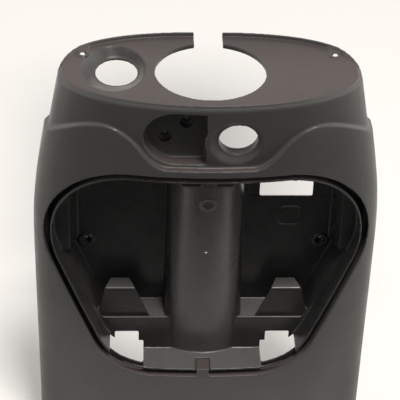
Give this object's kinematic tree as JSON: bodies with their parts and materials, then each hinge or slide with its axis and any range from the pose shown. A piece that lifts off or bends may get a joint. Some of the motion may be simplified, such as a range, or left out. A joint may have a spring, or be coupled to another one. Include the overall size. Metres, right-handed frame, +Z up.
{
  "type": "scooter leg shield",
  "caption": "Moulded inner leg shield with a shelf round a stem hole, a console with hook recess and lock hole, and an open glovebox tub with a central tunnel.",
  "frame": {"origin": "centre of the stem hole on the top face of the shelf", "axes": "+X to the rider's right, +Y forward, away from the rider, +Z up along the stem hole"},
  "size_m": [0.386, 0.1516, 0.514],
  "materials": {
    "panel_plastic": "fine grain, matte",
    "tub_plastic": "smooth, satin",
    "screw_steel": "zinc plated"
  },
  "bodies": {
    "root": {"leg_shield_panel": "panel_plastic", "glovebox_tub": "tub_plastic", "tub_screws": "screw_steel"}
  },
  "joints": []
}
